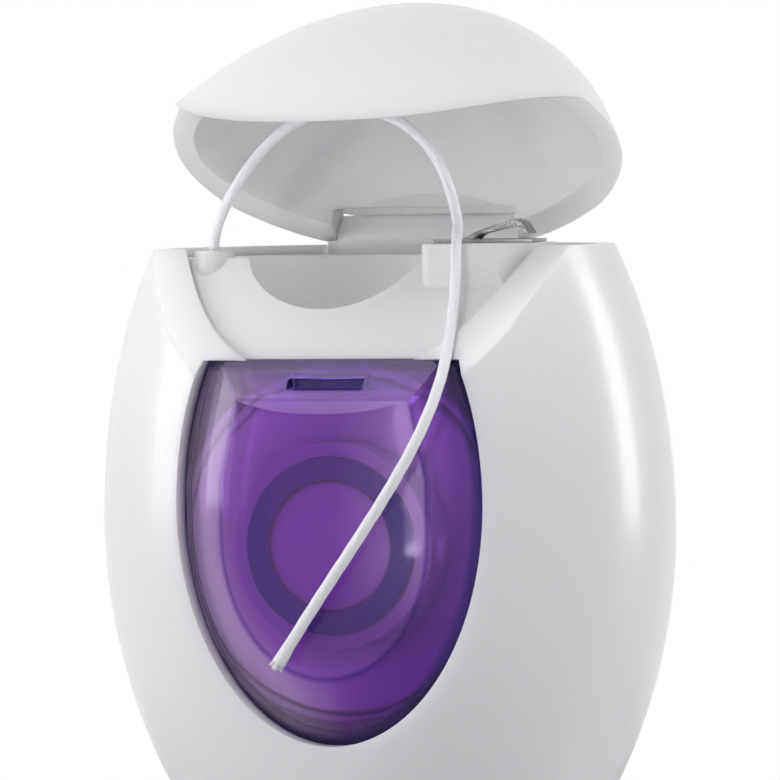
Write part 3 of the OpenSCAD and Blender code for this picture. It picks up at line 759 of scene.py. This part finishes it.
dish = ball(scoop_r + scoop_wall, scoop_at)
cut_on_parting_line(dish, 1.0)
cut_below(dish, insert_z)
dish = tool_piece(dish)
combine(dish, tool_piece(lens(insert_cut)), "INTERSECT")
combine(insert, dish, "UNION")
collar = bmesh.new()
bmesh.ops.create_cone(collar, cap_ends=True, segments=48, radius1=2.2, radius2=1.65, depth=3.3)
upper = [e for e in collar.edges if min(v.co.z for v in e.verts) > 1]
bmesh.ops.bevel(collar, geom=upper, affect="EDGES", offset=0.3, segments=4, profile=0.5, material=-1)
bmesh.ops.translate(collar, vec=(exit_x, exit_y, 52.7), verts=collar.verts)
collar = tool_piece(collar)
raised_cut = 2.1
combine(collar, tool_piece(lens(raised_cut)), "INTERSECT")
combine(insert, collar, "UNION")
seat = bmesh.new()
bmesh.ops.create_cube(seat, size=1)
bmesh.ops.scale(seat, vec=(10.8, 5.6, 4.05), verts=seat.verts)
bmesh.ops.translate(seat, vec=(11.6, -4.2, 52.725), verts=seat.verts)
upright = [e for e in seat.edges if abs(e.verts[0].co.z - e.verts[1].co.z) > 1]
bmesh.ops.bevel(seat, geom=upright, affect="EDGES", offset=1.0, segments=6, profile=0.5, material=-1)
seat = tool_piece(seat)
combine(seat, tool_piece(lens(raised_cut)), "INTERSECT")
combine(insert, seat, "UNION")
combine(insert, tool_piece(ball(scoop_r, scoop_at)), "DIFFERENCE")
combine(insert, bar(exit_hole_r, (exit_x, exit_y, exit_hole_z), 12, "Z", 40), "DIFFERENCE")
combine(insert, bar(groove_r, hinge_at, groove_w + 1), "DIFFERENCE")
add_rounding(insert, 0.12, corner=30)


# Cutter. Bright rolled steel plate pressed into the block, with one tongue bent up from it that
# catches and cuts the floss. It is the plate as drawn, with its burrs taken off.
steel, nodes, links, shader = new_finish("rolled_steel", Metallic=1.0, Roughness=0.22)
place = nodes.new("ShaderNodeTexCoord")
rolled = nodes.new("ShaderNodeMapping")
rolled.inputs["Scale"].default_value = (60, 2600, 2600)
streaks = nodes.new("ShaderNodeTexNoise")
streaks.inputs["Scale"].default_value = 1
streaks.inputs["Detail"].default_value = 3
tone = nodes.new("ShaderNodeValToRGB")
tone.color_ramp.elements[0].color = (0.17, 0.17, 0.175, 1)
tone.color_ramp.elements[1].color = (0.34, 0.34, 0.345, 1)
matt = nodes.new("ShaderNodeMapRange")
matt.inputs["To Min"].default_value = 0.16
matt.inputs["To Max"].default_value = 0.34
links.new(place.outputs["Object"], rolled.inputs["Vector"])
links.new(rolled.outputs["Vector"], streaks.inputs["Vector"])
links.new(streaks.outputs["Fac"], tone.inputs["Fac"])
links.new(streaks.outputs["Fac"], matt.inputs["Value"])
links.new(tone.outputs["Color"], shader.inputs["Base Color"])
links.new(matt.outputs["Result"], shader.inputs["Roughness"])

plate = bmesh.new()
plate.from_mesh(bpy.data.objects["cutter"].data)
bmesh.ops.scale(plate, vec=(1000, 1000, 1000), verts=plate.verts)
bmesh.ops.remove_doubles(plate, verts=plate.verts, dist=0.003)
bmesh.ops.dissolve_limit(plate, angle_limit=radians(1), verts=plate.verts, edges=plate.edges)
blade = keep_piece(plate, "steel_cutter", [steel], "blade_steel", "container", "cutter")
add_rounding(blade, 0.05, corner=30, segments=2)


# Living hinge. Thin strip of the same white moulding, bent where the cap folds back. It is a
# flat bar cut into short lengths and turned round the hinge's line.
bend = 1.3
leg = groove_r - 0.06
half_t = 0.225
half_arc, tangent = bend * fold / 2, bend * tan(fold / 2)
half = leg - tangent + half_arc
strip = block((-strip_w / 2, -half_t, -half), (strip_w / 2, half_t, half), 0.08)
for i in range(1, 28):
    at = half * (i / 14 - 1)
    bmesh.ops.bisect_plane(strip, geom=all_of(strip), dist=0.0005, plane_co=(0, 0, at), plane_no=(0, 0, 1))
for v in strip.verts:
    x, off, s = v.co
    turned = min(max((s + half_arc) / bend, 0), fold)
    straight = min(s + half_arc, 0) + max(s - half_arc, 0)
    y = bend * (1 - cos(turned)) + straight * sin(turned) + off * cos(turned)
    z = bend * sin(turned) - tangent + straight * cos(turned) - off * sin(turned)
    v.co = (x, hinge_y + y, hinge_z + z)
living_hinge = keep_piece(strip, "living_hinge", [white], "hinge_white", None, "hinge_strip")
halfway = Vector((0, sin(fold / 2), cos(fold / 2))) * 0.0009
hinge_line = Vector((0, hinge_y / 1000, hinge_z / 1000))
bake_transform(living_hinge)


# Cap. Top of the pod, a thin white shell folded back on the hinge, with a land at the hinge and
# a snap bead inside its front edge. Cut from the same lens as the case, then turned open.
cap_gap, cap_wall, inside_wall = 0.35, 1.7, 0.85
cap_groove_w, land_groove_w = 17.2, 24
cap_mesh = lens(0, columns)
cut_on_parting_line(cap_mesh, -cap_gap, keep_upper=True)
bmesh.ops.remove_doubles(cap_mesh, verts=cap_mesh.verts, dist=weld)
cap = keep_piece(cap_mesh, "flip_cap", [white], "cap_white", "lid", "cap")
combine(cap, tool_piece(lens(cap_wall, columns)), "DIFFERENCE")
combine(cap, bar(groove_r, hinge_at, cap_groove_w), "DIFFERENCE")
upper_land = tool_piece(block((-land_half_w, 8.6, 56.5), (land_half_w, 16, 58.7)))
combine(upper_land, tool_piece(lens(inside_wall)), "INTERSECT")
combine(upper_land, bar(groove_r, hinge_at, land_groove_w), "DIFFERENCE")
combine(cap, upper_land, "UNION")
bead_r, bead_w = 0.45, 9
bead = bar(bead_r, (0, -12.35, 45.83), bead_w, "X", 24)
combine(bead, tool_piece(lens(inside_wall)), "INTERSECT")
combine(cap, bead, "UNION")
to_hinge, from_hinge = Matrix.Translation(-hinge_line), Matrix.Translation(hinge_line)
cap.data.transform(from_hinge @ Matrix.Rotation(-fold, 4, "X") @ to_hinge)
add_rounding(cap, 0.3)


# Bobbin. A white core that turns on the hub, and the floss wound on it: ridged layers under
# one open outer layer of twelve turns, laid as a thread along its helix.
core_finish = moulded("bobbin_moulding", (0.62, 0.63, 0.66), 0.45, 0.1)
bpy.data.objects["bobbin_core"].material_slots[0].material = core_finish

pack_in_r, pack_side_r, pack_out_r, pack_half_w = 8.86, 13.6, 13.9, 8.5
ridged_half_w, ridges_cut, ridge_h = 8.4, 68, 0.16
layers = bmesh.new()
outline = [(pack_in_r, -pack_half_w), (pack_side_r, -pack_half_w)]
for i in range(ridges_cut + 1):
    outline.append((pack_out_r - ridge_h * (i % 2), -ridged_half_w + 2 * ridged_half_w * i / ridges_cut))
outline += [(pack_side_r, pack_half_w), (pack_in_r, pack_half_w)]
row = [layers.verts.new((r, y, hub_z)) for r, y in outline]
loop_edges = [layers.edges.new((a, b)) for a, b in zip(row, row[1:] + row[:1])]
bmesh.ops.spin(layers, geom=row + loop_edges, cent=(0, 0, hub_z), axis=(0, 1, 0), angle=2 * pi,
               steps=96, use_merge=True)
keep_piece(layers, "wound_layers", [waxed], "floss_wound", "bobbin", "floss_pack")

wound_turns, steps_a_turn = 12, 48
turn_r, wound_w, turn_d = 14.6, 16.0, 0.9
steps = wound_turns * steps_a_turn
turn_line = []
for i in range(steps + 1):
    a = 2 * pi * i / steps_a_turn
    turn_line.append(Vector((turn_r * cos(a), -wound_w / 2 + wound_w * i / steps, hub_z + turn_r * sin(a))))
thread = bmesh.new()
lay_thread(thread, turn_line, lambda gone: turn_d, 0.0, 10)
keep_piece(thread, "outer_turns", [waxed], "floss_wound", "bobbin", "floss_winding")


# Studio. A pale matt floor that fades to white away from the case, and a white surround. Soft
# lamps stand left, above, right and in front, and a small one is aimed up into the open cap.
def straight_rays(nodes, links):
    seen = nodes.new("ShaderNodeLightPath")
    clear_rays = nodes.new("ShaderNodeMath")
    clear_rays.operation = "MAXIMUM"
    all_rays = nodes.new("ShaderNodeMath")
    all_rays.operation = "MAXIMUM"
    links.new(seen.outputs["Is Camera Ray"], clear_rays.inputs[0])
    links.new(seen.outputs["Is Glossy Ray"], clear_rays.inputs[1])
    links.new(clear_rays.outputs["Value"], all_rays.inputs[0])
    links.new(seen.outputs["Is Transmission Ray"], all_rays.inputs[1])
    return all_rays.outputs["Value"]


floor_mesh = bmesh.new()
bmesh.ops.create_circle(floor_mesh, cap_ends=True, segments=96, radius=1.5)
bmesh.ops.translate(floor_mesh, vec=(0, 0, -0.0001), verts=floor_mesh.verts)
floor_data = bpy.data.meshes.new("floor")
floor_mesh.to_mesh(floor_data)
floor_mesh.free()
floor = bpy.data.objects.new("floor", floor_data)
bpy.context.collection.objects.link(floor)
paper, nodes, links, shader = new_finish("pale_floor", Roughness=0.8)
shader.inputs["Base Color"].default_value = (0.66, 0.66, 0.67, 1)
place = nodes.new("ShaderNodeTexCoord")
out_from_case = nodes.new("ShaderNodeVectorMath")
out_from_case.operation = "LENGTH"
fade = nodes.new("ShaderNodeMapRange")
fade.inputs["From Min"].default_value = 0.035
fade.inputs["From Max"].default_value = 0.085
amount = nodes.new("ShaderNodeMath")
amount.operation = "MULTIPLY"
bright = nodes.new("ShaderNodeEmission")
blend = nodes.new("ShaderNodeMixShader")
links.new(place.outputs["Object"], out_from_case.inputs[0])
links.new(out_from_case.outputs["Value"], fade.inputs["Value"])
links.new(straight_rays(nodes, links), amount.inputs[0])
links.new(fade.outputs["Result"], amount.inputs[1])
links.new(amount.outputs["Value"], blend.inputs["Fac"])
links.new(shader.outputs["BSDF"], blend.inputs[1])
links.new(bright.outputs["Emission"], blend.inputs[2])
links.new(blend.outputs["Shader"], nodes["Material Output"].inputs["Surface"])
floor_data.materials.append(paper)

surround = bpy.data.worlds.new("surround")
surround.use_nodes = True
nodes, links = surround.node_tree.nodes, surround.node_tree.links
lit = nodes["Background"]
lit.inputs["Color"].default_value = (0.93, 0.96, 1.0, 1)
lit.inputs["Strength"].default_value = 0.22
plain = nodes.new("ShaderNodeBackground")
plain.inputs["Color"].default_value = (1, 1, 1, 1)
blend = nodes.new("ShaderNodeMixShader")
links.new(straight_rays(nodes, links), blend.inputs["Fac"])
links.new(lit.outputs["Background"], blend.inputs[1])
links.new(plain.outputs["Background"], blend.inputs[2])
links.new(blend.outputs["Shader"], nodes["World Output"].inputs["Surface"])
bpy.context.scene.world = surround


# A lamp's share is how bright it would make a white card at the spot that it lights.
def soft_lamp(name, azimuth, elevation, away, width, height, share, spread=180, lit_spot=(0, 0, 0.04)):
    a, e = radians(azimuth), radians(elevation)
    narrowing = 1 if spread == 180 else (radians(spread) / 2) ** 2 / 3
    towards = Vector((sin(a) * cos(e), -cos(a) * cos(e), sin(e)))
    lamp = bpy.data.objects.new(name, bpy.data.lights.new(name, "AREA"))
    bpy.context.collection.objects.link(lamp)
    lamp.data.shape = "RECTANGLE"
    lamp.data.size = width
    lamp.data.size_y = height
    lamp.data.energy = share * pi * pi * away**2 * narrowing
    lamp.data.spread = radians(spread)
    lamp.location = Vector(lit_spot) + towards * away
    lamp.rotation_euler = towards.to_track_quat("Z", "Y").to_euler()


soft_lamp("left_lamp", -62, 9, 0.7, 0.5, 0.28, 0.36)
soft_lamp("front_lamp", -4, 20, 0.3, 0.05, 0.3, 0.12)
soft_lamp("cap_lamp", -8, -9, 0.32, 0.06, 0.03, 0.62, 10, (0.005, 0, 0.067))
soft_lamp("right_lamp", 98, 12, 0.6, 0.16, 0.5, 0.61)
soft_lamp("top_lamp", -35, 56, 0.6, 0.4, 0.4, 0.40)

bpy.context.scene.view_settings.view_transform = "Standard"
